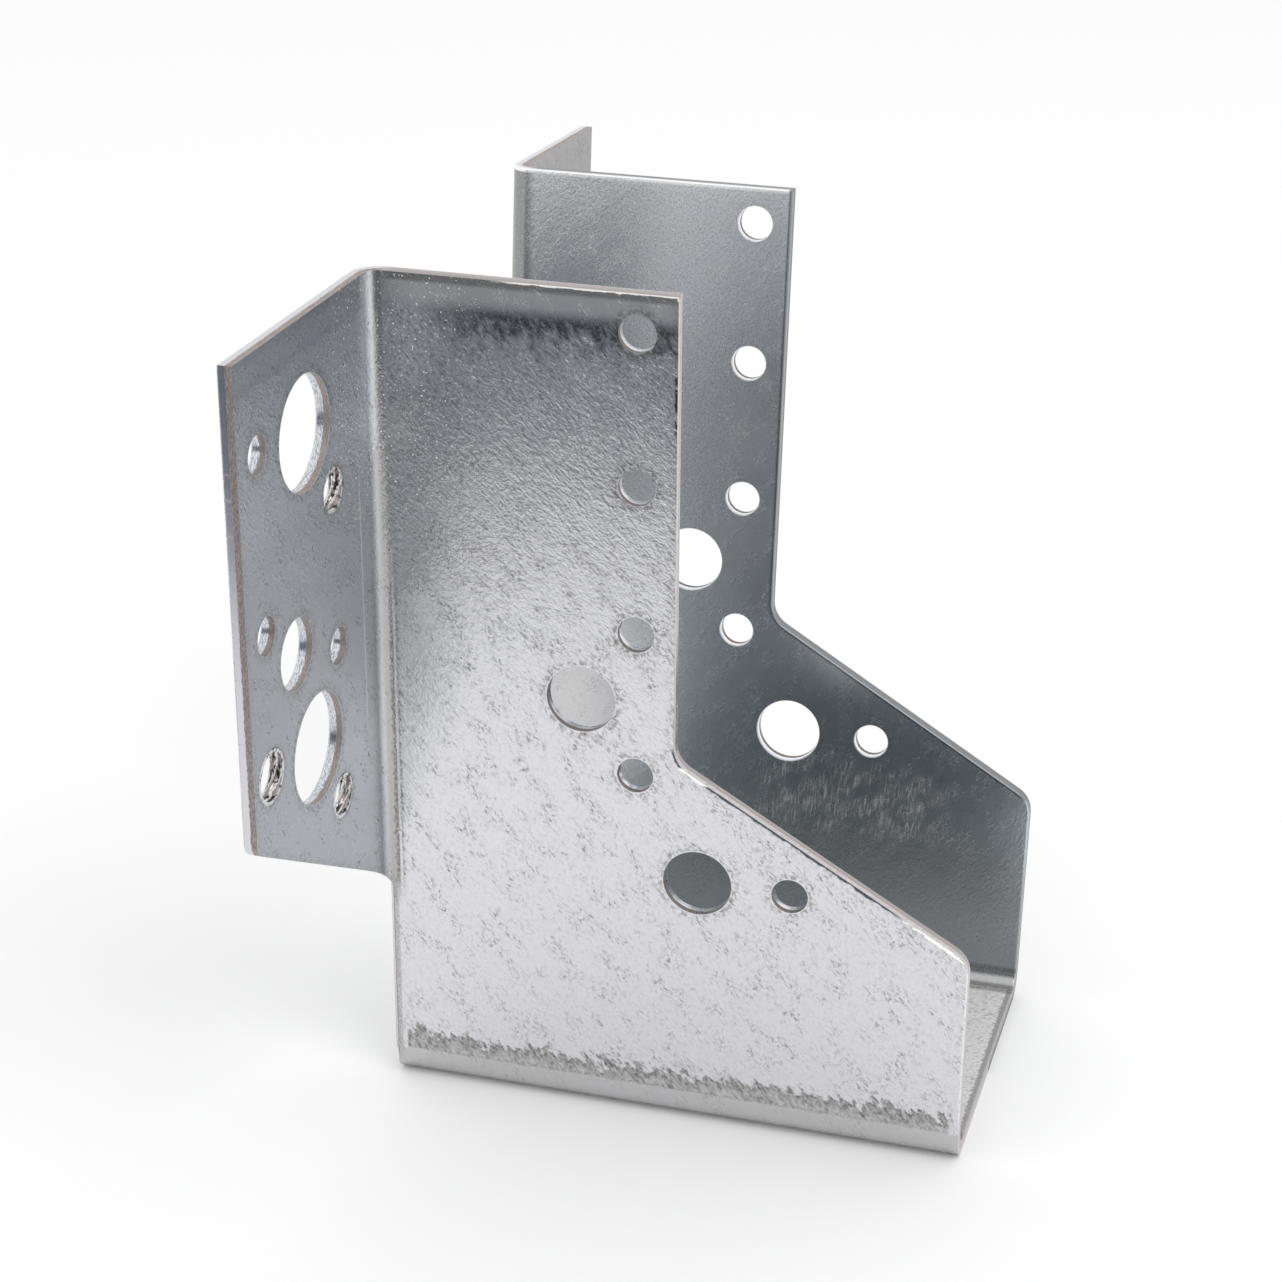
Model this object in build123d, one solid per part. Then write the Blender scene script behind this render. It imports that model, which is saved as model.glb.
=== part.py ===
from build123d import *
import math
import os

# Joist hanger folded from one galvanised steel sheet: a flat seat, two side plates
# and two header flanges turned outwards. Side B of the sheet is inside the pocket and
# behind the flanges, side A is outside. Millimetres, +Z up, X across the joist,
# Y along it. The hanger is drawn with the header's face at Y = 0 and the joist coming
# in from -Y, and is then moved so that the origin is the centre of the seat's underside.

# The sheet and its four folds. Each fold has sprung back a little from square.
sheet = 2.0
inside_width = 48.5
seat_bend_radius = 2.0
flange_bend_radius = 2.0
seat_spring_back = 2.9
flange_spring_back = 2.4

# Side plate, measured up the plate and forwards from the header
plate_height = 120.0
plate_depth = 42.75
seat_reach = 83.5
slope_top = 55.75
slope_foot = 32.0
slope_top_fillet = 4.0
slope_foot_fillet = 4.0
back_edge_turn = 33.0

# Header flange, measured outwards from the side plate's outer face and down from the top
flange_width = 40.0
flange_drop_outer = 63.75
flange_drop_inner = 87.25
flange_foot_corner = 2.0
flange_root_fillet = 3.0

# The blank was sheared and punched from side B, where the steel rolls in beside the cut
roll_over = 0.25

# Punched holes
nail_hole = 5.0
joist_bolt_hole = 9.5
header_bolt_hole = 15.0
header_middle_hole = 9.5

# Side plate's row of nails, as far below its top as behind its front edge
nail_edge = 5.25
plate_nail_pitch = 20.5
plate_nail_rows = 4

# Other side plate holes: (forwards from the header, up from the seat underside)
front_nail = (59.0, 38.25)
joist_bolts = [(30.0, 63.5), (46.25, 38.25)]

# Flange holes, measured outwards from the side plate and down from the top
flange_nail_inner = 13.75
flange_nail_drop = 25.0
flange_nail_pitch = 21.5
flange_nail_rows = 3
flange_nail_outer = 34.5
outer_nail_drops = [55.25, 36.25, 12.75]
header_bolt_out = 21.0
header_bolt_drop = 14.75
header_bolt_spacing = 43.0
header_middle_out = 26.25
header_middle_drop = 42.25

# Nail holes of the left flange that a leaning screw has torn: which hole, how far out
# and up the screw's thread has bitten, and how wide
torn_inner = {0: (0.4, 0.0, 5.3), 2: (-0.4, 0.0, 5.2)}
torn_outer = {0: (0.5, 0.1, 6.4)}

# Worked out from the sizes above, heights up from the seat underside
flange_foot_outer = plate_height - flange_drop_outer
flange_foot_inner = plate_height - flange_drop_inner
plate_nail_depth = plate_depth - nail_edge
plate_nail_first = plate_height - nail_edge - (plate_nail_rows - 1) * plate_nail_pitch
flange_nail_first = plate_height - flange_nail_drop - (flange_nail_rows - 1) * flange_nail_pitch
outer_nail_heights = [plate_height - drop for drop in outer_nail_drops]
header_bolt_low = plate_height - header_bolt_drop - header_bolt_spacing
header_middle = (header_middle_out, plate_height - header_middle_drop)
plate_x = inside_width / 2 + sheet
seat_outer_radius = seat_bend_radius + sheet
flange_outer_radius = flange_bend_radius + sheet
seat_bend_x = plate_x - seat_outer_radius
flange_bend_x = plate_x + flange_bend_radius
flange_bend_y = -flange_outer_radius
seat_turn = 90.0 - seat_spring_back
flange_turn = 90.0 - flange_spring_back
flange_run = flange_width - flange_bend_radius
foot_slope = (flange_foot_outer - flange_foot_inner) / flange_width
back_edge_run = (flange_bend_radius + sheet / 2) * math.radians(back_edge_turn)
seat_back = flange_bend_y + back_edge_run
reach_past = 5 * sheet


def arc_point(bend_radius, radius, angle):
    """A point seen from above on a bend that starts at the plate's end, 0 degrees."""
    a = math.radians(angle)
    return (plate_x + bend_radius - radius * math.cos(a), flange_bend_y + radius * math.sin(a))


def fold_point(radius, angle):
    """A point of the flange fold seen from above."""
    return arc_point(flange_bend_radius, radius, angle)


def fold_section(radius, turn):
    """The sheet seen from above, bent from the plate's end round a radius by a turn."""
    inner = [arc_point(radius, radius, turn * part / 2) for part in range(3)]
    outer = [arc_point(radius, radius + sheet, turn * part / 2) for part in range(3)]
    outline = [
        ThreePointArc(*inner),
        Line(inner[2], outer[2]),
        ThreePointArc(*reversed(outer)),
        Line(outer[0], inner[0]),
    ]
    return make_face(outline)


def foot_height(out):
    """Height of the flange's sloping foot line at a distance out from the fold's end."""
    return flange_foot_inner + foot_slope * (out + flange_bend_radius)


def rolled_plate(outline, joined):
    """A plate of the outline with side B below, rolled in except on the joined edges."""
    plate = extrude(outline, sheet)
    edges = plate.edges().group_by(Axis.Z)[0]
    for x, y in joined:
        edges = edges - edges.sort_by_distance((x, y, 0))[:1]
    return fillet(edges, roll_over)


def side_plate():
    """The right side plate with its sloping front, upright, from the seat fold up."""
    points = [
        (flange_bend_y, seat_outer_radius),
        (-seat_reach, seat_outer_radius),
        (-seat_reach, slope_foot),
        (-plate_depth, slope_top),
        (-plate_depth, plate_height),
        (flange_bend_y, plate_height),
    ]
    outline = make_face(Polyline(*points, close=True))
    corner = outline.vertices().sort_by_distance((-seat_reach, slope_foot))[0]
    outline = fillet(corner, slope_foot_fillet)
    corner = outline.vertices().sort_by_distance((-plate_depth, slope_top))[0]
    outline = fillet(corner, slope_top_fillet)
    foot = ((flange_bend_y - seat_reach) / 2, seat_outer_radius)
    back = (flange_bend_y, (seat_outer_radius + plate_height) / 2)
    return Plane.YZ.offset(plate_x - sheet) * rolled_plate(outline, [foot, back])


def flange_frame():
    """The flange's own plane on its back face: x outwards, y up, z towards the joist."""
    turn = math.radians(flange_turn)
    out = (math.sin(turn), math.cos(turn), 0)
    front = (math.cos(turn), -math.sin(turn), 0)
    return Plane(origin=(*fold_point(flange_outer_radius, flange_turn), 0), x_dir=out, z_dir=front)


def header_flange():
    """The right flange past its fold: a straight top, a foot that slopes up outwards."""
    points = [
        (0, foot_height(0)),
        (flange_run, foot_height(flange_run)),
        (flange_run, plate_height),
        (0, plate_height),
    ]
    outline = make_face(Polyline(*points, close=True))
    corner = outline.vertices().sort_by_distance((flange_run, foot_height(flange_run)))[0]
    outline = fillet(corner, flange_foot_corner)
    fold = (0, (foot_height(0) + plate_height) / 2)
    return flange_frame() * rolled_plate(outline, [fold])


def root_line(steps=8):
    """Angle and height along the blank's edge where the flange's foot runs into the fold.

    The edge comes up straight, rounds over in the root fillet and goes on along the
    foot's slope. It is drawn on the flat blank and wrapped round the fold.
    """
    middle_radius = (flange_bend_radius + flange_outer_radius) / 2
    edge = -middle_radius * math.radians(flange_turn - back_edge_turn)
    centre = edge + flange_root_fillet
    rise = math.hypot(1, foot_slope)
    low = foot_height(centre) - flange_root_fillet * rise
    last = math.acos(foot_slope / rise)
    flat = []
    for step in range(steps + 1):
        a = last * step / steps
        flat.append((centre - flange_root_fillet * math.cos(a), low + flange_root_fillet * math.sin(a)))
    past = flange_bend_radius
    flat.append((past / 2, foot_height(past / 2)))
    flat.append((past, foot_height(past)))
    return [(flange_turn + math.degrees(out / middle_radius), up) for out, up in flat]


def below_root():
    """What the blank lacks under the flange, as a solid that trims the fold."""
    line = root_line()
    inside = [(*fold_point(flange_bend_radius / 2, angle), up) for angle, up in line]
    outside = [(*fold_point(flange_outer_radius + sheet, angle), up) for angle, up in line]
    surface = Face.make_surface_from_curves(Spline(*inside), Spline(*outside))
    return extrude(surface, amount=plate_height, dir=(0, 0, -1))


def back_edge_section(turn):
    """The strip behind the plate's end at one place of the seat fold, bent by a turn."""
    if turn > 0:
        return fold_section(back_edge_run / math.radians(turn) - sheet / 2, turn)
    middle = flange_bend_y + back_edge_run / 2
    return make_face(Pos(plate_x - sheet / 2, middle) * Rectangle(sheet, back_edge_run).wire())


def seat_fold(steps=8):
    """The fold from the plate's foot round to the seat, its back edge uncurling."""
    axis = Axis((seat_bend_x, 0, seat_outer_radius), (0, 1, 0))
    middle = (flange_bend_y - seat_reach) / 2
    foot = Rectangle(sheet, seat_reach + flange_bend_y)
    foot = Pos(plate_x - sheet / 2, middle, seat_outer_radius) * foot
    fold = revolve(foot, axis, seat_turn)
    front = fold.edges().group_by(Axis.Y)[0].filter_by(GeomType.CIRCLE)
    fold = fillet(front.sort_by(SortBy.LENGTH)[0], roll_over)
    sections = []
    for step in range(steps + 1):
        left_over = (1 - step / steps) ** 2
        face = Pos(Z=seat_outer_radius) * back_edge_section(back_edge_turn * left_over)
        sections.append(face.rotate(axis, seat_turn * step / steps))
    return fold + loft(sections)


def folded_side():
    """Plate, folds and flange of the right side in one, still upright."""
    height = plate_height - seat_outer_radius
    fold = Pos(Z=seat_outer_radius) * fold_section(flange_bend_radius, flange_turn)
    fold = extrude(fold, height)
    top = fold.edges().group_by(Axis.Z)[-1].filter_by(GeomType.CIRCLE)
    fold = fillet(top.sort_by(SortBy.LENGTH)[-1], roll_over)
    return side_plate() + (fold - below_root()) + header_flange() + seat_fold()


def punch(width):
    """What a punch takes away, with side B and the rolled-in rim at height 0."""
    r = width / 2
    wide = r + roll_over / 2
    outline = [
        (0, -reach_past),
        (wide, -reach_past),
        (wide, 0),
        (r, roll_over),
        (r, reach_past),
        (0, reach_past),
    ]
    return revolve(Plane.XZ * make_face(Polyline(*outline, close=True)), Axis.Z)


def flange_holes(bites_inner, bites_outer):
    """Punches through one flange; the two tables add a screw's bite to single nail holes."""
    frame = flange_frame()
    holes = []
    rows = [(flange_nail_inner, flange_nail_first + row * flange_nail_pitch, bites_inner.get(row))
            for row in range(flange_nail_rows)]
    rows += [(flange_nail_outer, height, bites_outer.get(row))
             for row, height in enumerate(outer_nail_heights)]
    for out, up, bite in rows:
        holes.append((out, up, nail_hole))
        if bite:
            holes.append((out + bite[0], up + bite[1], bite[2]))
    for row in range(2):
        holes.append((header_bolt_out, header_bolt_low + row * header_bolt_spacing,
                      header_bolt_hole))
    holes.append((*header_middle, header_middle_hole))
    return [frame * Pos(out - flange_bend_radius, up) * punch(width) for out, up, width in holes]


def plate_holes():
    """Punches through the right side plate."""
    holes = [(plate_nail_depth, plate_nail_first + row * plate_nail_pitch, nail_hole)
             for row in range(plate_nail_rows)]
    holes.append((*front_nail, nail_hole))
    holes += [(*place, joist_bolt_hole) for place in joist_bolts]
    inside = Plane.YZ.offset(plate_x - sheet)
    return [inside * Pos(-forwards, up) * punch(width) for forwards, up, width in holes]


def opened(side):
    """Turns an upright right side outwards about its seat fold, by the spring-back."""
    axis = Axis((seat_bend_x, 0, seat_outer_radius), (0, 1, 0))
    return side.rotate(axis, seat_spring_back)


def seat():
    """The flat seat between its two folds."""
    length = seat_reach + seat_back
    plate = Pos(0, seat_back - length / 2, sheet / 2) * Box(2 * seat_bend_x, length, sheet)
    edges = plate.edges().filter_by(Axis.X).group_by(Axis.Z)[-1]
    return fillet(edges, roll_over)


def hanger():
    """The whole folded sheet as one solid, with the header's face at Y = 0."""
    side = folded_side()
    for punch in plate_holes():
        side -= punch
    right = side
    for punch in flange_holes({}, {}):
        right -= punch
    left = side
    for punch in flange_holes(torn_inner, torn_outer):
        left -= punch
    return seat() + opened(right) + mirror(opened(left), about=Plane.YZ)


def main():
    os.makedirs("parts", exist_ok=True)
    seat_middle = (seat_back - seat_reach) / 2
    part = Pos(0, -seat_middle, 0) * hanger()
    part.label = "hanger"
    export_step(part, "parts/hanger.step")


main()
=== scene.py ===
# %% [markdown]
# # A joist hanger of galvanised steel sheet
#
# The object is one steel sheet, sheared, punched and folded into a pocket for the end of
# a timber joist. The imported CAD model already holds its folds, holes and sheared edges,
# so this lesson is mostly about zinc: how a galvanised, rolled and handled coat looks,
# where the punch and the press have marked it, and what a few torn screw holes show.
#
# The first cell loads the frame.

# %% Load the frame
import math

import bmesh
import bpy
from mathutils import Matrix, Vector


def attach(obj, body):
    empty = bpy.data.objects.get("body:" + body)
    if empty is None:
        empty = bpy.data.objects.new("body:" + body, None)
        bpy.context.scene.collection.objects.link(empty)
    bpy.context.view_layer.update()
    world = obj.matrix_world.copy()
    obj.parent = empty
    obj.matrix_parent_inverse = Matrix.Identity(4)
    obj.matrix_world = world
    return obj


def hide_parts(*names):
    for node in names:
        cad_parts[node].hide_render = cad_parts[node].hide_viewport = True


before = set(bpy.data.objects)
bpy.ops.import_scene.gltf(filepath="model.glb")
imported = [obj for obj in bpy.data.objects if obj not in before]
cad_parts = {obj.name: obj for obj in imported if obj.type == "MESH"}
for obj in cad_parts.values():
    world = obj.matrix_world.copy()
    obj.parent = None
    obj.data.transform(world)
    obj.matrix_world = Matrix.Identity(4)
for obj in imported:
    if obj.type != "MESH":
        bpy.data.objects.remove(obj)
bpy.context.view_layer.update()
MM = 0.001

# %% [markdown]
# ## The sheet's own map
#
# The marks on the zinc were made on a flat sheet that was folded afterwards, so they run
# straight on through the folds. An image wrapped round the part would need seams, and a
# pattern in the room's own coordinates would be cut through by each fold. Instead, each
# point of the folded sheet is given its place on the flat sheet. The sizes of the folds
# are repeated here in millimetres, and the folding is undone step by step: first the
# spring-back, then the seat fold, then the flange fold.
#
# The result has three numbers: how far across the sheet a point lies from the middle of
# the seat, how far along it lies from the header (the pocket is on the minus side, the
# flange on the plus side), and how deep in the sheet, from 0 on side A, outside the
# pocket, to 2 mm on side B, inside it.

# %% Sizes of the folds
SHEET = 2.0                             # the sheet's thickness
INSIDE_WIDTH = 48.5                     # between the plates, for the joist
BEND = 2.0                              # inner radius of every fold
SEAT_SPRING = math.radians(2.9)         # the seat folds are this much open
FLANGE_TURN = math.radians(90 - 2.4)    # and the flange folds 2.4 degrees
BACK_EDGE = math.radians(33.0)          # the plate's back edge is turned this far at its top
HEADER_Y = 42.88606                     # where the flanges' front faces lie
CLOSE = 0.002                           # so few mm count as nothing
PLATE_X = INSIDE_WIDTH / 2 + SHEET      # the plate's outer face, from the middle
AXIS = PLATE_X - BEND - SHEET           # the seat fold's axis
OUTER = BEND + SHEET                    # radius of a fold's outer face
MIDDLE = BEND + SHEET / 2               # and of the middle of the sheet in it
SEAT_TURN = math.pi / 2 - SEAT_SPRING
SEAT_END = AXIS + MIDDLE * SEAT_TURN    # where the plate begins on the flat sheet
print("half the seat with its fold:", round(SEAT_END, 2), "mm")

# %% Undo the folds for one point


def blank_place(point):
    """Where a point of the folded sheet lay on the flat sheet: across, along, depth in mm."""
    side = 1 if point.x >= 0 else -1
    x, y, z = abs(point.x) / MM, point.y / MM - HEADER_Y, point.z / MM
    if x < AXIS + CLOSE and z < OUTER:
        return (side * x, y, z)
    x, z = x - AXIS, z - OUTER
    x, z = (x * math.cos(SEAT_SPRING) - z * math.sin(SEAT_SPRING),
            x * math.sin(SEAT_SPRING) + z * math.cos(SEAT_SPRING))
    turned = 0.0
    if z < 0:
        turned = math.atan2(-z, x)
        x, z = math.hypot(x, z), 0.0
    x += AXIS
    across = side * (SEAT_END - MIDDLE * turned + z)
    if y <= -OUTER:
        return (across, y, PLATE_X - x)
    if turned > 0:
        curl = BACK_EDGE * (1 - turned / SEAT_TURN) ** 2
        if curl < CLOSE:
            return (across, y, PLATE_X - x)
        radius = MIDDLE * BACK_EDGE / curl - SHEET / 2
        reach = math.hypot(PLATE_X + radius - x, y + OUTER)
        angle = math.atan2(y + OUTER, PLATE_X + radius - x)
        return (across, -OUTER + (radius + SHEET / 2) * angle, reach - radius)
    fold_x = PLATE_X + BEND
    angle = math.atan2(y + OUTER, fold_x - x)
    if 0 <= angle < FLANGE_TURN:
        return (across, -OUTER + MIDDLE * angle, math.hypot(fold_x - x, y + OUTER) - BEND)
    outwards = Vector((math.sin(FLANGE_TURN), math.cos(FLANGE_TURN)))
    forwards = Vector((math.cos(FLANGE_TURN), -math.sin(FLANGE_TURN)))
    from_fold = Vector((x - fold_x, y + OUTER))
    along = -OUTER + MIDDLE * FLANGE_TURN + from_fold.dot(outwards)
    return (across, along, -from_fold.dot(forwards) - BEND)


# %% [markdown]
# ## The folded sheet
#
# The piece is the sheet itself, 2 mm thick, with its folds, its holes and its rolled-in
# edges. It could be modelled anew, but the CAD solid already has the true form. Its mesh
# is a set of loose triangles, so a copy of it is merged, its faces are shaded smooth and
# its real corners are marked sharp. Then the folds and the hole walls shine as the round
# surfaces that they are. The copy keeps the form exactly and takes the CAD node's place.

# %% Copy and merge the CAD mesh
CORNER = math.radians(30)               # a sharper turn than this is a real corner
mesh = bpy.data.meshes.new("folded_sheet")
bm = bmesh.new()
bm.from_mesh(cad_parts["hanger"].data)
bmesh.ops.remove_doubles(bm, verts=bm.verts, dist=CLOSE * MM)
for face in bm.faces:
    face.smooth = True
for edge in bm.edges:
    edge.smooth = len(edge.link_faces) == 2 and edge.calc_face_angle() < CORNER
bm.to_mesh(mesh)
print("merged sheet:", len(bm.verts), "vertices,", len(bm.faces), "triangles,",
      sum(not e.is_manifold for e in bm.edges), "open edges")
bm.free()
sheet = bpy.data.objects.new("folded_sheet", mesh)
bpy.context.scene.collection.objects.link(sheet)
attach(sheet, "root")
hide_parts("hanger")

# %% Store the flat place of every vertex
places = [blank_place(vertex.co) for vertex in mesh.vertices]
blank = mesh.attributes.new("blank_mm", "FLOAT_VECTOR", "POINT")
for item, place in zip(blank.data, places):
    item.vector = place
for name, values in zip(("across", "along", "deep"), zip(*places)):
    print("flat sheet:", round(max(values) - min(values), 1), "mm", name)

# %% [markdown]
# ## Colours and nodes
#
# A material is a tree of nodes, and building one node takes four lines of Python: make
# it, set its properties, fill its inputs, link it. The zinc has some five hundred nodes,
# so one function does this for any kind of node. It fills the inputs with values or
# links, in their order or by name. Colours are written as sRGB hex values, as a paint
# program shows them, and turned to the linear values that a shader takes.

# %% Helpers for colours and nodes


def linear(code):
    """An sRGB hex value as the linear colour that a shader takes."""
    values = [int(code[i:i + 2], 16) / 255 for i in (1, 3, 5)]
    values = [v / 12.92 if v <= 0.04045 else ((v + 0.055) / 1.055) ** 2.4 for v in values]
    return (*values, 1.0)


def add(tree, kind, inputs, out=0, **settings):
    """Adds a node with its settings, fills its inputs, and gives back one of its outputs."""
    node = tree.nodes.new("ShaderNode" + kind)
    for name, value in settings.items():
        setattr(node, name, value)
    for key, value in inputs.items() if isinstance(inputs, dict) else enumerate(inputs):
        if isinstance(value, bpy.types.NodeSocket):
            tree.links.new(value, node.inputs[key])
        else:
            node.inputs[key].default_value = value
    return node.outputs[out] if node.outputs else None


def new_material(name):
    """An empty node material and its tree."""
    material = bpy.data.materials.new(name)
    material.use_nodes = True
    material.node_tree.nodes.clear()
    return material, material.node_tree


print("middle grey, #808080, is", round(linear("#808080")[0], 3), "to a shader")

# %% [markdown]
# ## Zinc
#
# The real finish is galvanised steel: a steel sheet with a coat of zinc, sheared and
# folded after it was coated. It is a bare metal, so its colour comes mostly from what it
# mirrors: light grey where the coat is fresh, darker and bluish where it looks away from
# the lamp. A texture painted by hand would need an image. Here the coat is worked out
# from the sheet's map, mark by mark, each mark in a zone that the map gives.
#
# The helper `zone` makes such zones from limits. A limit is a number, another zone, a
# value with the two numbers between which it fades in, or a list of limits of which any
# one is enough. The helper `coated` lays colours over each other, each in its own zone.

# %% Zones and coats


def zone(*limits, how="MULTIPLY"):
    """The share of the surface, from 0 to 1, that lies inside all of the limits.

    (value, start, end) grows smoothly from 0 at the start to 1 at the end, and two more
    numbers say what it grows from and to. In a list, one limit that holds is enough.
    """
    share = None
    for limit in limits:
        if isinstance(limit, list):
            limit = zone(*limit, how="MAXIMUM")
        elif isinstance(limit, tuple):
            limit = add(tree, "MapRange", limit, interpolation_type="SMOOTHSTEP")
        share = limit if share is None else add(tree, "Math", [share, limit], operation=how)
    return share


def coated(under, *coats):
    """Lays coats over a colour, one on the other: each is a colour with its limits."""
    colour = linear(under) if isinstance(under, str) else under
    for over, *limits in coats:
        over = linear(over) if isinstance(over, str) else over
        inputs = {"Factor": zone(*limits), "A": colour, "B": over}
        colour = add(tree, "Mix", inputs, "Result", data_type="RGBA")
    return colour


# %% Read the sheet's map
zinc, tree = new_material("galvanised_steel")
flat_place = add(tree, "Attribute", [], "Vector", attribute_name="blank_mm")
across, along, depth = add(tree, "SeparateXYZ", [flat_place]).node.outputs
height = add(tree, "Math", [across], operation="ABSOLUTE")
height = add(tree, "Math", [height, SEAT_END - OUTER], operation="SUBTRACT")
spot = add(tree, "CombineXYZ", [height, along])

A_FACE, A_EDGE = 0.02, 0.06             # side A ends between these depths
B_EDGE, B_FACE = 1.70, 1.76             # side B begins here, where its rim is rolled in
side_a = zone((depth, A_EDGE, A_FACE))
side_b = zone((depth, B_EDGE, B_FACE))
wall = zone((depth, A_FACE, A_EDGE), (depth, B_FACE, B_EDGE))
near = zone((across, 0.5, -0.5))        # the half that is nearer to the camera
far = zone((across, -0.5, 0.5))
flange = zone((along, -3.0, 0.6))
near_face = zone(side_a, near)          # the near half's outer face, which has most marks
near_plate = zone(near_face, (along, -3.0, -5.0))
print("nodes that read the map:", len(tree.nodes))

# %% [markdown]
# ## Distances on the sheet
#
# The punch and the shear leave their marks in narrow borders, a rim round each hole and a
# line along each edge. To draw them, the material has to know how far a point is from
# the nearest hole and from the sheared outline. These distances could be stored in the
# mesh, but its triangles are too large to carry a border half a millimetre wide. The
# holes are circles and the outline is a few straight lines, so nodes can work out both
# at every point, with the same sizes in millimetres that the CAD part has.

# %% Distance from the punched holes
FLANGE_SHIFT = MIDDLE * FLANGE_TURN - OUTER - BEND
NAIL, BOLT, SMALL_BOLT = 2.5, 7.5, 4.75  # radii
HOLES = [(53.25 + 20.5 * row, -37.5, NAIL) for row in range(4)]
HOLES += [(38.25, -59.0, NAIL), (63.5, -30.0, SMALL_BOLT), (38.25, -46.25, SMALL_BOLT)]
HOLES += [(52.0 + 21.5 * row, 13.75 + FLANGE_SHIFT, NAIL) for row in range(3)]
HOLES += [(up, 34.5 + FLANGE_SHIFT, NAIL) for up in (64.75, 83.75, 107.25)]
HOLES += [(up, 21.0 + FLANGE_SHIFT, BOLT) for up in (62.25, 105.25)]
HOLES += [(77.75, 26.25 + FLANGE_SHIFT, SMALL_BOLT)]
TORN = [(52.0, 14.15 + FLANGE_SHIFT, 2.65), (95.0, 13.35 + FLANGE_SHIFT, 2.6),
        (64.85, 35.0 + FLANGE_SHIFT, 3.2)]  # height, along, radius
FAR_OFF = 99.0                          # mm, farther than any hole


def nearest(circles):
    """How far a place lies outside the nearest of some circles, in mm."""
    found = FAR_OFF
    for up, out, radius in circles:
        reach = add(tree, "VectorMath", [spot, (up, out, 0.0)], "Value", operation="DISTANCE")
        reach = add(tree, "Math", [reach, radius], operation="SUBTRACT")
        found = add(tree, "Math", [found, reach], operation="MINIMUM")
    return found


torn_rim = add(tree, "Math", [nearest(TORN), zone(far, FAR_OFF)], operation="ADD")
rim = add(tree, "Math", [nearest(HOLES), torn_rim], operation="MINIMUM")
print("holes:", len(HOLES), "round and", len(TORN), "torn")

# %% Distance from the sheared outline
PLATE_TOP, REACH, UPRIGHT = 120.0, 83.5, 42.75  # the plate's top, seat's front, upright edge
FLANGE_END = 40.0 + FLANGE_SHIFT
BACK = MIDDLE * BACK_EDGE - OUTER       # the plate's back edge below the flange
CORNER_BLEND = 3.7                      # rounds a corner as the real radius does


def inside(start, end):
    """How far a place lies to one side of a line between two (height, along) points, in mm."""
    run = Vector(end) - Vector(start)
    normal = Vector((run.y, -run.x, 0.0)).normalized()
    reach = add(tree, "VectorMath", [spot, normal], "Value", operation="DOT_PRODUCT")
    offset = normal.dot(Vector((*start, 0.0)))
    return add(tree, "Math", [reach, offset], operation="SUBTRACT")


top = inside((PLATE_TOP, 0), (PLATE_TOP, -1))
seat_front = inside((1, -REACH), (0, -REACH))
upright = inside((1, -UPRIGHT), (0, -UPRIGHT))
slope = inside((55.75, -UPRIGHT), (32.0, -REACH))
back_edge = inside((0, BACK), (1, BACK))
foot_line = inside((32.75, FLANGE_SHIFT), (56.25, FLANGE_END))
flange_end = inside((0, FLANGE_END), (1, FLANGE_END))

front = add(tree, "Math", [upright, slope, CORNER_BLEND], operation="SMOOTH_MAX")
foot = add(tree, "Math", [foot_line, back_edge], operation="MAXIMUM")
edge = add(tree, "Math", [seat_front, front, CORNER_BLEND], operation="SMOOTH_MIN")
for other in (top, foot, flange_end):
    edge = add(tree, "Math", [edge, other], operation="MINIMUM")
print("nodes with the distances:", len(tree.nodes))

# %% [markdown]
# ## Grains of the coat
#
# Close up, the coat is not even. It has a fine grit, a mottle of patches about half a
# millimetre across, small dents and flecks that the rolling has drawn out in one
# direction, and larger clusters where they gather. Each is a noise on the flat sheet with
# cells of a given length and width in millimetres, because a noise never repeats as a
# tiled pattern would. The true grit is a few hundredths of a millimetre, too fine for the
# picture, so it is drawn at 0.3 by 0.2 mm.

# %% Grain
SPREAD = 0.075                          # how far each grain spreads about its middle of 0.5
FLAT_SPREAD, DEEP_SPREAD = 0.159, 0.132  # how far one octave of 2D or 3D noise spreads


def grain(length, width, turn=0.0, finer=2, rough=0.6, bend=0.0, shift=(0, 0, 0), deep=0.0):
    """Noise on the flat sheet with cells of a length and width in mm, turned by some degrees.

    Its middle is 0.5 and its spread the same, however many finer octaves are in it. With
    a depth in mm given, it also changes through the sheet.
    """
    inputs = {"Vector": flat_place, "Location": shift, "Scale": (length, width, deep or 1.0),
              "Rotation": (0.0, 0.0, math.radians(turn))}
    cells = add(tree, "Mapping", inputs, vector_type="TEXTURE")
    inputs = {"Vector": cells, "Scale": 1.0, "Detail": finer, "Roughness": rough,
              "Distortion": bend}
    noise = add(tree, "TexNoise", inputs, "Fac", noise_dimensions="3D" if deep else "2D")
    octaves = [rough ** octave for octave in range(finer + 1)]
    own_spread = DEEP_SPREAD if deep else FLAT_SPREAD
    gain = SPREAD * sum(octaves) / (own_spread * math.hypot(*octaves))
    return add(tree, "Math", [noise, gain, 0.5 - 0.5 * gain], operation="MULTIPLY_ADD")


ROLLED = -38                            # degrees: the way in which rolling drew out the flecks
grit = grain(0.30, 0.22, ROLLED, finer=1)
mottle = grain(0.75, 0.5, ROLLED, bend=0.4, shift=(11, 3, 0))
dents = grain(0.95, 0.42, ROLLED)
flecks = grain(0.85, 0.36, ROLLED, bend=0.4, shift=(31, 17, 0))
clusters = grain(5.0, 2.6, ROLLED, shift=(3, 5, 0))
cloudy = zone((clusters, 0.38, 0.66))
print("nodes with the grains:", len(tree.nodes))
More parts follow.
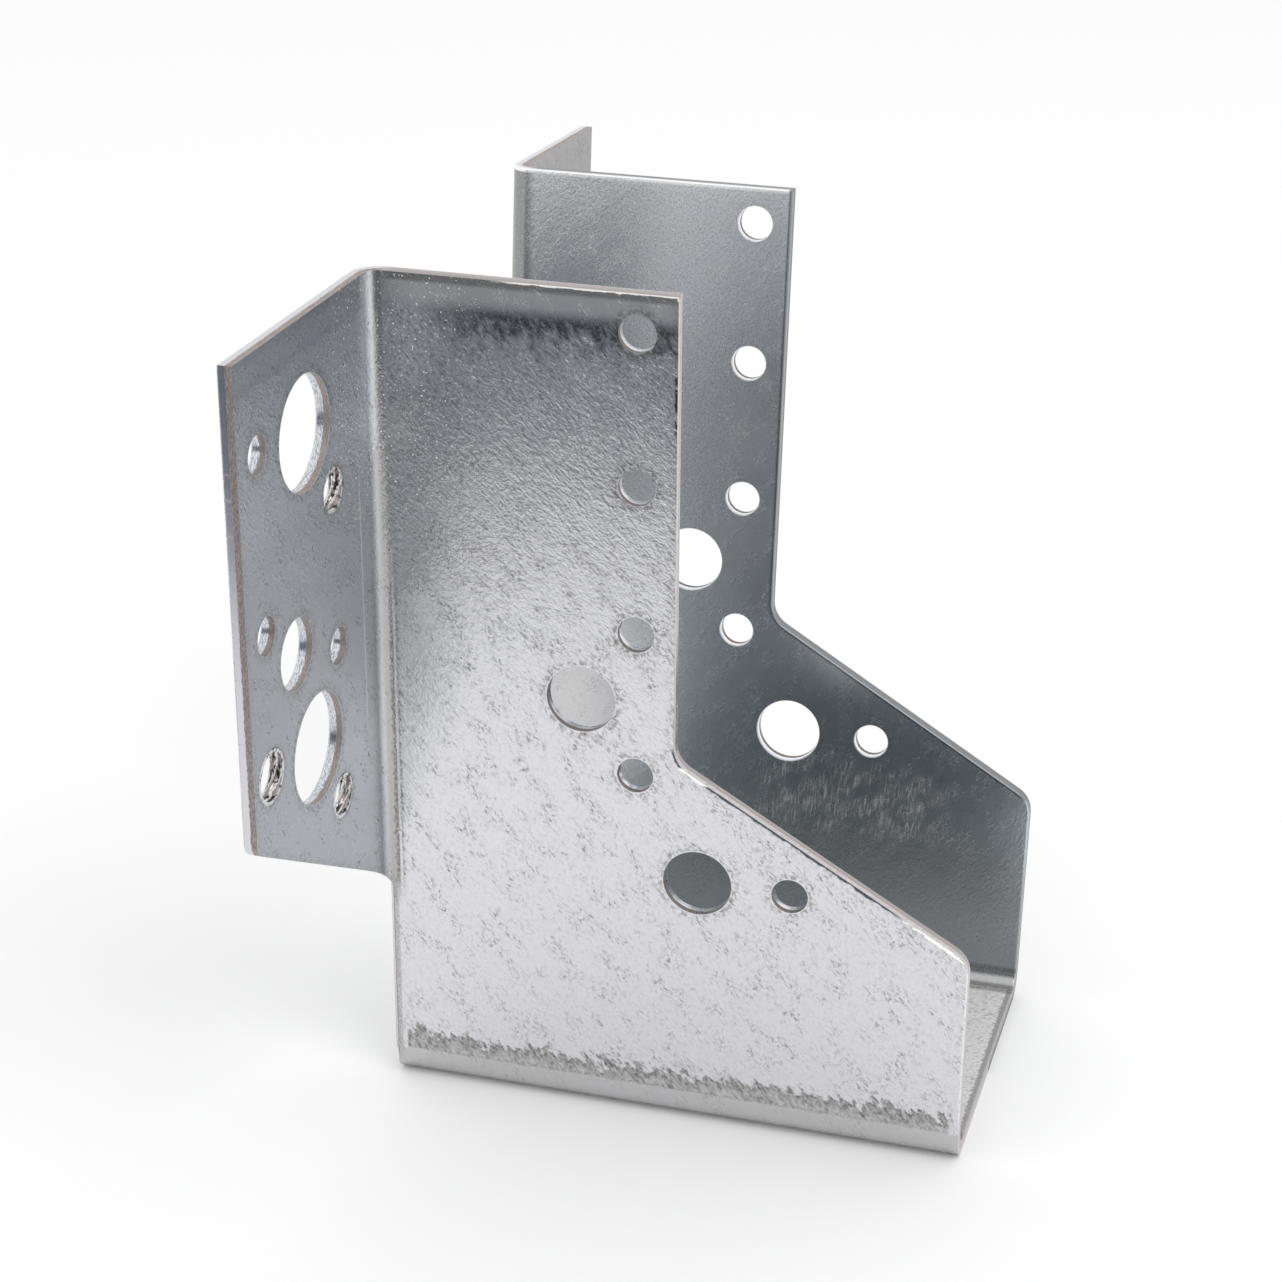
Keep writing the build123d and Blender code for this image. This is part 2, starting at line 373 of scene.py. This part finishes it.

# %% [markdown]
# ## The coat outside the pocket
#
# Side A faces outwards on the plates and forwards on the flanges. Its zinc is the
# brightest part of the hanger. It is mottled with soft grey, and the flanges are a little
# cooler, with painted shade that darkens their upper part. Painted shade also darkens the
# plate slowly towards the flange fold, in the corner that the fold makes. One flat grey
# would look like plastic, and strong tints like paint, so the tints stay close to each
# other and leave most of the work to the metal's reflections.

# %% Outer coat
outer = coated("#dedee2", ("#bebcba", (mottle, 0.46, 0.68), (clusters, 0.38, 0.66, 0.3, 0.9)))
# the flanges' cooler tint, with painted shade that darkens them above 70 mm
flange_coat_and_shade = coated("#c8cdd1", ("#c1c6ca", (height, 70.0, 84.0)))
outer = coated(
    outer,
    (flange_coat_and_shade, flange),
    # painted shade on the plate beside the flange fold
    ("#aaacb0", near, (along, -16.0, -6.0), (height, 52.0, 74.0), (height, 100.0, 92.0), 0.6))
print("nodes with the outer coat:", len(tree.nodes))

# %% [markdown]
# ## The coat inside the pocket
#
# Side B is smoother and bluer. It shows on the far plate, on the backs of the flanges and
# on the seat, and a joist that was slid in has scuffed it with thin pale lines along the
# sheet. Painted shade makes the far plate bluer and darker near the seat and in the flange
# fold, painted light makes it brighter at the top, and a chalky patch lies beside its fold.
# The seat's floor is paler and soiled, with a grey border where the shear has pressed its
# front edge, and two dark creases run along the seat fold. Side B could be a second
# material, but its border would then follow the mesh's faces. One material that reads
# the depth has a clean border anywhere.

# %% Inner coat
chalky = zone(side_b, far, (along, -33.0, -19.0), (along, -4.0, -8.0),
              (height, 22.0, 35.0), (height, 62.0, 48.0))
scuff_grain = grain(2.6, 0.22, -4, shift=(13, 2, 0))
scuffs = zone((scuff_grain, 0.48, 0.64), (clusters, 0.36, 0.5), (height, 20.0, 26.0),
              (height, 36.5, 32.0), (along, -73.0, -68.0), (along, -38.0, -46.0))
inner = coated(
    "#c9cccf",
    ("#bec5c9", (height, 62.0, 30.0)),      # painted shade: bluer low down
    ("#9aa0a4", (height, 28.0, 14.0)),      # painted shade: darker beside the seat
    ("#e2e3e4", flange, cloudy),            # clouds on the flange's back
    ("#dcdde0", (height, 84.0, 106.0)),     # painted light: brighter at the top
    ("#dddcdd", chalky),
    ("#fafaf8", scuffs, 0.5),
    ("#8e9497", (grit, 0.49, 0.38), (height, 62.0, 84.0, 0.2, 0.45)),   # fine dark grains
    ("#949595", (along, -4.6, -2.6), (along, 1.6, 0.2)))                # painted shade in the flange fold

# %% Seat floor and its folds
border = add(tree, "Math", [mottle, -1.3, seat_front], operation="MULTIPLY_ADD")
seat_floor = coated(
    "#e8e6e6",
    ("#b3b0ae", (mottle, 0.46, 0.66), 0.6),
    ("#8d8a87", (clusters, 0.50, 0.66), (flecks, 0.50, 0.62), 0.7),     # soiled spots
    ("#a19f9f", (border, 0.40, 0.10)))                                  # pressed front edge
upper_crease = zone((height, 4.9, 4.3), (height, 3.2, 4.0))
lower_crease = zone((height, -2.3, -1.5), (height, 1.0, 0.2))
crease_depth = add(tree, "Math", [mottle, 0.6, 0.35], operation="MULTIPLY_ADD")
inner = coated(
    inner,
    (seat_floor, (height, -0.3, -0.9)),
    ("#b4b4b5", (height, 4.2, 3.4), (height, -0.8, 0.0)),               # the fold itself
    ("#6e6c68", [upper_crease, lower_crease], crease_depth))
colour = coated(outer, (inner, side_b))
print("nodes with both coats:", len(tree.nodes))

# %% [markdown]
# ## Grime and darker zones
#
# Grease and dust lie in the dents of the coat, as grey flecks that gather in clusters,
# and here and there a darker nick. A second layer of geometry would be far too heavy for
# specks of a few tenths of a millimetre, so they are coats too, where two grains are high
# at the same place. The upper part of the near plate is rougher: grains of dark dirt lie
# on a paler ground. The far flange's upper half is darker, with painted shade.

# %% Grime
upper = zone(near_plate, (height, 80.0, 108.0))
soiled = zone([(side_b, 1.4, 0.2), zone(flange, 0.7)])      # faint inside the pocket
grime = zone((flecks, 0.54, 0.63), (clusters, 0.49, 0.64))
dark_grains = zone(upper, (height, 116.5, 114.5), [(grit, 0.45, 0.35), (flecks, 0.52, 0.59)])
colour = coated(
    colour,
    # painted shade on the far flange's upper half
    ("#848184", side_a, flange, far, (height, 92.0, 106.0)),
    ("#ecedf0", upper, 0.9),
    ("#f4f4f5", (grit, 0.55, 0.75), 0.5),
    ("#86837f", grime, soiled, 0.65),
    ("#666a73", dark_grains, 0.38),
    ("#66645f", (flecks, 0.70, 0.74), soiled, 0.8))         # small dark nicks
print("nodes with the grime:", len(tree.nodes))

# %% [markdown]
# ## The flange fold: painted shade, a painted highlight and dirt
#
# The near flange fold is a concave crease on this side. Painted shade makes it a darker
# strip, with a broken dark line of dirt in it, a painted highlight runs along the strip's
# edge, and the plate's free back edge below the flange is gritty. On the map these are
# narrow upright bands, so each is a coat between two limits along the sheet. The mottle
# pushes the line of dirt to and fro.

# %% Flange fold
dirt_line = add(tree, "Math", [mottle, -2.4, along], operation="MULTIPLY_ADD")
dirt_line = add(tree, "Math", [dirt_line, 4.9], operation="ADD")
dirt_line = add(tree, "Math", [dirt_line], operation="ABSOLUTE")
above_foot = (height, 28.0, 34.0)
colour = coated(
    colour,
    # the darker strip, painted shade in the fold
    ("#b3b1b0", side_a, (along, -3.9, -3.1), (along, -0.7, -2.2), above_foot, 0.9),
    # the line of dirt
    ("#53514e", near_face, (height, 92.0, 66.0), above_foot, (dirt_line, 1.0, 0.4),
     (grit, 0.38, 0.48), 0.7),
    # a painted highlight along the strip's edge, where the fold turns
    ("#ffffff", near_face, (along, -4.3, -4.05), (along, -3.6, -3.85), above_foot,
     (height, 90.0, 70.0), 0.5),
    # the gritty back edge
    ("#8b8886", near_face, (height, 34.0, 31.0), (height, 3.0, 5.0), (along, -3.3, -2.9),
     (grit, 0.38, 0.56), 0.6))
print("nodes with the flange fold:", len(tree.nodes))

# %% [markdown]
# ## The worn foot and the dark band
#
# The press bar has rubbed the near plate just above the seat fold. It left a ragged grey
# fringe with a dark contour, and below it the fold is plain and dull. Under the plate's
# top edge lies a dark band with a ragged foot, like soot, partly a mark and partly painted
# shade, and over it a pale smooth strip that ends in a grey line under the edge. A
# straight limit would look like tape stuck on the metal, so each ragged outline is a
# height that a coarse grain moves up and down.

# %% Worn foot of the near plate
spikes = grain(3.4, 1.5, -35, finer=4, rough=0.68, shift=(7, 3, 0))
over_fringe = add(tree, "Math", [spikes, -9.0, height], operation="MULTIPLY_ADD")
under_fringe = add(tree, "Math", [mottle, -1.6, height], operation="MULTIPLY_ADD")
fringe = zone(near_face, (under_fringe, 4.0, 4.3), (over_fringe, 3.7, 2.9),
              (along, -82.6, -81.6), (along, -3.9, -4.3), (mottle, 0.40, 0.58, 0.65, 1.0))
contour = zone([(over_fringe, 0.6, 2.6), zone((under_fringe, 4.8, 4.3), 0.6),
                (along, -4.9, -4.4)])
colour = coated(
    colour,
    ("#aeadab", fringe, 0.85),
    ("#6a6966", fringe, contour, (dents, 0.44, 0.56, 0.35, 0.9)),
    ("#bcbcbc", side_a, (under_fringe, 4.2, 4.0), (height, -1.8, -0.6), 0.75))  # the fold

# %% Dark band and pale strip
band_grain = grain(2.6, 1.2, -30, finer=4, rough=0.72, shift=(2, 9, 0))
band_foot = add(tree, "Math", [band_grain, -13.3, height], operation="MULTIPLY_ADD")
band = zone(near_face, (height, 117.6, 114.9), (band_foot, 103.6, 109.6),
            (along, -5.0, -20.0), (grit, 0.42, 0.56, 0.72, 1.0))
strip = zone(near_plate, (height, 115.2, 117.8))
colour = coated(
    colour,
    # the dark band under the top edge, partly a mark and partly painted shade
    ("#323842", band, 0.9),
    ("#e2e2e2", strip, (mottle, 0.6, 0.42, 0.6, 1.0)),
    ("#a3a39e", near_plate, (top, 1.3, 0.7), 0.8))          # the line under the edge
print("nodes with the worn zones:", len(tree.nodes))

# %% [markdown]
# ## Rims and edges
#
# Round each hole the punch has left a smudge on the outer face. Beside the sheared edges
# the coat is a little dirty, a row of marks follows the sloping edge, and one upright
# scratch runs down the near flange. Where the shear has raised a burr the edge is white,
# partly the burr and partly a painted highlight, and a painted highlight runs down the
# front edge. Where the edge was knocked it has dark nicks. How far these reach in from the
# edge changes with a grain, so they are ragged and not a drawn line.

# %% Smudges and scratches
scratch = add(tree, "Math", [along, 4.0], operation="SUBTRACT")
scratch = add(tree, "Math", [scratch], operation="ABSOLUTE")
colour = coated(
    colour,
    # the scratch on the near flange
    ("#f4f6f8", near_face, (scratch, 0.24, 0.08), (height, 56.0, 62.0), (height, 98.0, 90.0),
     0.6),
    # smudges round the holes, and dirt beside the edges
    ("#85827e", side_a, (rim, 1.7, 0.1), (rim, 0.05, 0.25), (mottle, 0.42, 0.6), 0.7),
    ("#95938f", side_a, (edge, 1.6, 0.3), (mottle, 0.40, 0.62), (height, 26.0, 36.0), 0.35),
    # the row of marks along the sloping edge
    ("#6d6b68", near_face, (slope, 4.6, 3.2), (slope, 0.9, 1.6), (along, -44.0, -48.0),
     (flecks, 0.55, 0.61), 0.4),
    # a painted highlight down the front edge
    ("#ffffff", near_face, (seat_front, 0.32, 0.12), (height, 5.0, 8.0), (height, 33.0, 31.0),
     (mottle, 0.34, 0.5), 0.6))

# %% Burrs, their painted highlights, and nicks
burr_grain = grain(1.4, 1.4, shift=(5, 1, 0))
on_top = zone((top, 0.6, 0.5), (along, -17.0, -22.0))
on_corner = zone((front, 0.6, 0.5), (height, 52.8, 53.2), (height, 55.4, 55.0),
                 (along, -42.0, -43.0))
on_slope = zone((slope, 0.6, 0.5), (height, 37.5, 36.0), (burr_grain, 0.40, 0.46))
wide = zone([on_corner, on_slope])
burr_highlight_width = add(tree, "Math", [wide, 0.5, 0.5], operation="MULTIPLY_ADD")
burr_highlight_line = add(tree, "Math", [burr_grain, burr_highlight_width, -0.04], operation="MULTIPLY_ADD")
burr_highlight_line = add(tree, "Math", [edge, burr_highlight_line], operation="SUBTRACT")
burr_highlight = zone(near_face, [on_top, wide], (burr_highlight_line, 0.06, -0.06))
nick_line = add(tree, "Math", [burr_grain, -0.9, front], operation="MULTIPLY_ADD")
low_knocks = zone((height, 36.5, 38.5), (height, 58.5, 57.0))
high_knocks = zone((height, 101.0, 103.0), (height, 112.0, 109.0), (burr_grain, 0.46, 0.50))
nick = zone(near_face, (nick_line, -0.06, -0.22), (front, 0.8, 0.6), [low_knocks, high_knocks],
            (burr_highlight, 1.0, 0.0))

# %% Specks and the edges of side B
speck_grain = grain(0.36, 0.36, finer=0, shift=(9, 4, 0))
specks = zone(near_face, (speck_grain, 0.647, 0.670), (height, 80.0, 92.0),
              (along, -26.0, -6.0), (along, 16.0, 8.0))
bright = zone([burr_highlight, specks])
colour = coated(
    colour,
    ("#39414d", nick, 0.9),
    # white burrs, partly painted highlight, and white specks
    ("#fdfcf8", bright),
    ("#fbfbfa", side_b, (top, 0.7, 0.4)),           # painted highlight on the top of the rolled-in rim
    ("#8b8e91", side_b, far, (front, 0.6, 0.3)))    # and painted shade on its front
print("nodes with the rims and edges:", len(tree.nodes))

# %% [markdown]
# ## Sheared and punched walls
#
# The cut edge of a sheet has two parts: a smooth, bright land where the blade went in,
# and a rough, brownish-grey break where the steel tore. The blade came from side B, so
# the land is there, and its border with the break is wavy. A flat grain would only draw
# straight lines through the wall, so this one is 3D and also changes with the depth. The
# hole walls are darker, because they mirror each other, and the flange's hole walls have
# patches of polish.

# %% Cut walls
wall_grain = grain(0.5, 0.5, rough=0.5, deep=0.12)
into_wall = add(tree, "Math", [wall_grain, 0.4, depth], operation="MULTIPLY_ADD")
in_hole = (rim, 0.8, 0.4)
plate_edge = zone((along, -3.0, -5.0), near, (rim, 0.4, 0.8))
far_edge = zone((along, -3.0, -5.0), far, (rim, 0.4, 0.8))
patchy = (wall_grain, 0.35, 0.65)
hole_wall = coated("#736c68", ("#958d89", (wall_grain, 0.3, 0.7)))
flange_hole_wall = coated("#8f8783", ("#b3aba6", (wall_grain, 0.3, 0.7)))
broken = coated(
    coated("#8d837f", ("#b9b0ad", patchy)),
    (coated("#c3bdbe", ("#dedadb", patchy)), plate_edge),
    ("#a39a9a", plate_edge, (top, 0.4, 0.2), 0.75),
    ("#868a8d", far_edge, 0.85),
    (coated(hole_wall, (flange_hole_wall, flange)), in_hole))
land = coated(
    "#d3d3d9",
    ("#aaa3a2", plate_edge),
    ("#7f8386", far_edge),
    ("#eeeef4", in_hole),
    (coated("#a9acb3", ("#e2e4ea", (wall_grain, 0.38, 0.62))), in_hole, flange))
torn_off = zone((into_wall, 1.15, 1.0))
colour = coated(colour, (coated(broken, (land, (into_wall, 1.0, 1.15))), wall))
print("nodes with the cut walls:", len(tree.nodes))

# %% [markdown]
# ## Holes that a screw has torn
#
# Three holes of the near flange were opened by a leaning screw. The CAD solid has their
# wider outlines. Their walls are scored by the thread, with bright crests, dark pits and
# a bright broken lip on the outer face. The thread's bites are a tenth of a millimetre
# deep, too fine for the mesh, so they are a sine through the depth of the wall, and a
# grain bends it.

# %% Torn holes
near_torn = zone(near, (torn_rim, 0.6, 0.3))
in_torn = zone(wall, near_torn)
torn_lip = zone(side_a, near_torn)
scored = grain(1.3, 1.3, 25, bend=1.2, shift=(0, 0, 4), deep=0.9)
THREAD, LEAN, WANDER = 6.5, 1.6, 9.0    # radians per mm through the wall and up, and by grain
climb = add(tree, "Math", [height, LEAN], operation="MULTIPLY")
turns = add(tree, "Math", [depth, THREAD, climb], operation="MULTIPLY_ADD")
wavy_turns = add(tree, "Math", [scored, WANDER, turns], operation="MULTIPLY_ADD")
groove = add(tree, "Math", [turns], operation="SINE")
crest = add(tree, "Math", [wavy_turns], operation="SINE")
colour = coated(
    colour,
    ("#a59d98", in_torn),
    ("#35312f", in_torn, (scored, 0.50, 0.60)),
    ("#fafafc", in_torn, (crest, 0.2, 0.9)),
    ("#fafafa", torn_lip, (scored, 0.62, 0.52)),
    ("#55504c", torn_lip, (scored, 0.54, 0.62)))
print("nodes with the torn holes:", len(tree.nodes))

# %% [markdown]
# ## Roughness, relief and the shader
#
# Zinc sheet is half glossy. It is rougher where it is dirty and on the torn parts of the
# walls. Its dents are a few hundredths of a millimetre deep. Real displacement would need
# millions of faces for them, so they are a bump whose heights are in millimetres. White
# chips, chalk and the seat's soiled floor scatter light as a powder does, so there the
# surface is less metallic.

# %% Relief
relief = add(tree, "Math", [grit, 0.020], operation="MULTIPLY")
raised = zone((dents, 0.62, 0.74), cloudy, side_a)
for layer, depth_mm in ((dents, 0.048), (mottle, 0.030), (raised, 0.035)):
    relief = add(tree, "Math", [layer, depth_mm, relief], operation="MULTIPLY_ADD")
# Multiplied by a zone, the relief fades out where the zone ends. Side A has all of it, the
# flange's back 0.7, the rest of side B 0.35, and a wall next to none.
by_side = add(tree, "Math", [side_a, 0.65, 0.35], operation="MULTIPLY_ADD")
by_side = add(tree, "Math", [wall, -0.3, by_side], operation="MULTIPLY_ADD")
by_side = zone([by_side, zone(side_b, flange, 0.7)])
smooth_strip = zone(near_face, (height, 114.6, 117.4))
relief = zone(relief, by_side, (clusters, 0.38, 0.66, 0.8, 1.1),
              (smooth_strip, 0.0, 1.0, 1.0, 0.15), (upper, 0.0, 1.0, 1.0, 0.62))
for mark, depth_mm in ((zone(in_torn, groove), 0.12), (torn_lip, 0.10)):
    relief = add(tree, "Math", [mark, depth_mm, relief], operation="MULTIPLY_ADD")
bump = add(tree, "Bump", {"Height": relief, "Distance": MM, "Strength": 1.0})
print("nodes with the relief:", len(tree.nodes))

# %% Gloss and shader
ROUGH_MIDDLE, ROUGH_CHANGE, ROUGH_DIRT = 0.24, 0.06, 0.30
dirty = zone([zone(fringe, 0.9), zone(grime, 0.5), zone(wall, torn_off)])
rough = add(tree, "Math", [clusters, ROUGH_CHANGE, ROUGH_MIDDLE - ROUGH_CHANGE / 2],
            operation="MULTIPLY_ADD")
rough = add(tree, "Math", [dirty, ROUGH_DIRT, rough], operation="MULTIPLY_ADD")
powdery = zone([bright, zone(fringe, 0.5), zone(strip, 0.13), zone(chalky, 0.5),
                zone(side_b, [zone((height, 1.5, 0.0), 0.95), zone(scuffs, 0.3)])])
metal = add(tree, "Math", [powdery, -0.8, 1.0], operation="MULTIPLY_ADD")
surface = add(tree, "BsdfPrincipled", {"Base Color": colour, "Metallic": metal,
                                       "Roughness": rough, "Normal": bump})
add(tree, "OutputMaterial", [surface])
mesh.materials.clear()
mesh.materials.append(zinc)
print("nodes in the zinc:", len(tree.nodes))

# %% [markdown]
# ## Floor and dark card
#
# The hanger stands on a plain pale floor that runs out of view, so the floor keeps its
# soft shadow and there is no horizon. A metal shows what it mirrors: with nothing but
# white round it, the far plate would look as bright as the near one. In a photo studio a
# dark card beside the object gives such a sheet its darker blue tone, and painting the
# tone into the zinc instead would look wrong from other sides. The card here shows only
# in reflections. It casts no shadow and takes no light from the object.

# %% Floor and card


def stage_piece(name, code, bm):
    """A plain matt piece of the studio, from a finished bmesh."""
    piece = bpy.data.objects.new(name, bpy.data.meshes.new(name))
    bm.to_mesh(piece.data)
    bm.free()
    matt, tree = new_material(name)
    add(tree, "OutputMaterial", [add(tree, "BsdfDiffuse", [linear(code)])])
    piece.data.materials.append(matt)
    bpy.context.scene.collection.objects.link(piece)
    return piece


FLOOR_HALF = 4.0                        # metres, so that its end is out of view
CARD_SIZE, CARD_PLACE = (0.004, 0.7, 0.10), (-0.222, 0.02, 0.05)
bm = bmesh.new()
bmesh.ops.create_grid(bm, x_segments=1, y_segments=1, size=FLOOR_HALF)
floor = stage_piece("floor", "#f9f9f9", bm)
bm = bmesh.new()
bmesh.ops.create_cube(bm, size=1.0)
bmesh.ops.scale(bm, vec=CARD_SIZE, verts=bm.verts)
bmesh.ops.translate(bm, vec=CARD_PLACE, verts=bm.verts)
card = stage_piece("dark_card", "#61666e", bm)
card.visible_camera = card.visible_shadow = card.visible_diffuse = False
print("stage pieces:", floor.name, "and", card.name)

# %% [markdown]
# ## Light
#
# Most of the light is an even white surround, as in a light tent, at a strength of 1, so
# that a colour renders about as it is written. One soft square lamp high on the left
# gives the folds their glint and the floor its faint shadow. Several lamps would draw
# several glints in each fold, and the real one shows one.

# %% World and lamp
world = bpy.data.worlds.new("studio")
world.use_nodes = True
world.node_tree.nodes.clear()
tent = add(world.node_tree, "Background", [linear("#ffffff"), 1.0])
add(world.node_tree, "OutputWorld", [tent])
bpy.context.scene.world = world

lamp = bpy.data.lights.new("soft_lamp", "AREA")
lamp.size = 0.5
lamp.energy = 2.0
lamp_place, lamp_aim = Vector((-0.45, -0.55, 0.9)), Vector((0.0, 0.0, 0.05))
lamp_object = bpy.data.objects.new("soft_lamp", lamp)
lamp_object.location = lamp_place
lamp_object.rotation_euler = (lamp_aim - lamp_place).to_track_quat("-Z", "Y").to_euler()
bpy.context.scene.collection.objects.link(lamp_object)
print("lamp:", lamp.energy, "W over", lamp.size, "m")

# %% [markdown]
# ## Camera
#
# The camera was fitted to the photograph together with the object's sizes: about 165
# corners, edges and hole outlines, which it meets within about a pixel. Its direction is
# an azimuth, an elevation and a small roll, and its focal length comes from the fit, in
# pixels of a frame that is 1282 wide. Setting it by eye would do for a picture, but here
# every hole has to fall where the photograph has it.

# %% Camera
AZIMUTH, ELEVATION, ROLL = (math.radians(angle) for angle in (-74.6624, 21.6671, 1.2197))
FOCAL_PIXELS, FRAME_PIXELS = 2889.5344, 1282
SENSOR, DISTANCE = 36.0, 415.4845       # mm
towards = Vector((math.sin(AZIMUTH) * math.cos(ELEVATION),
                  -math.cos(AZIMUTH) * math.cos(ELEVATION), math.sin(ELEVATION)))
right = Vector((math.cos(AZIMUTH), math.sin(AZIMUTH), 0))
up = towards.cross(right)
turned_right = math.cos(ROLL) * right + math.sin(ROLL) * up
turned_up = math.cos(ROLL) * up - math.sin(ROLL) * right
aim = Vector((5.6251, HEADER_Y - 28.4964, 58.1466))     # mm, seen at the frame's middle
lens = bpy.data.cameras.new("camera")
lens.sensor_width = SENSOR
lens.lens = SENSOR * FOCAL_PIXELS / FRAME_PIXELS
camera = bpy.data.objects.new("camera", lens)
turn = Matrix((turned_right, turned_up, towards)).transposed().to_4x4()
camera.matrix_world = Matrix.Translation((aim + towards * DISTANCE) * MM) @ turn
bpy.context.scene.collection.objects.link(camera)
bpy.context.scene.camera = camera
bpy.context.scene.view_settings.view_transform = "Standard"
print("focal length:", round(lens.lens, 1), "mm")
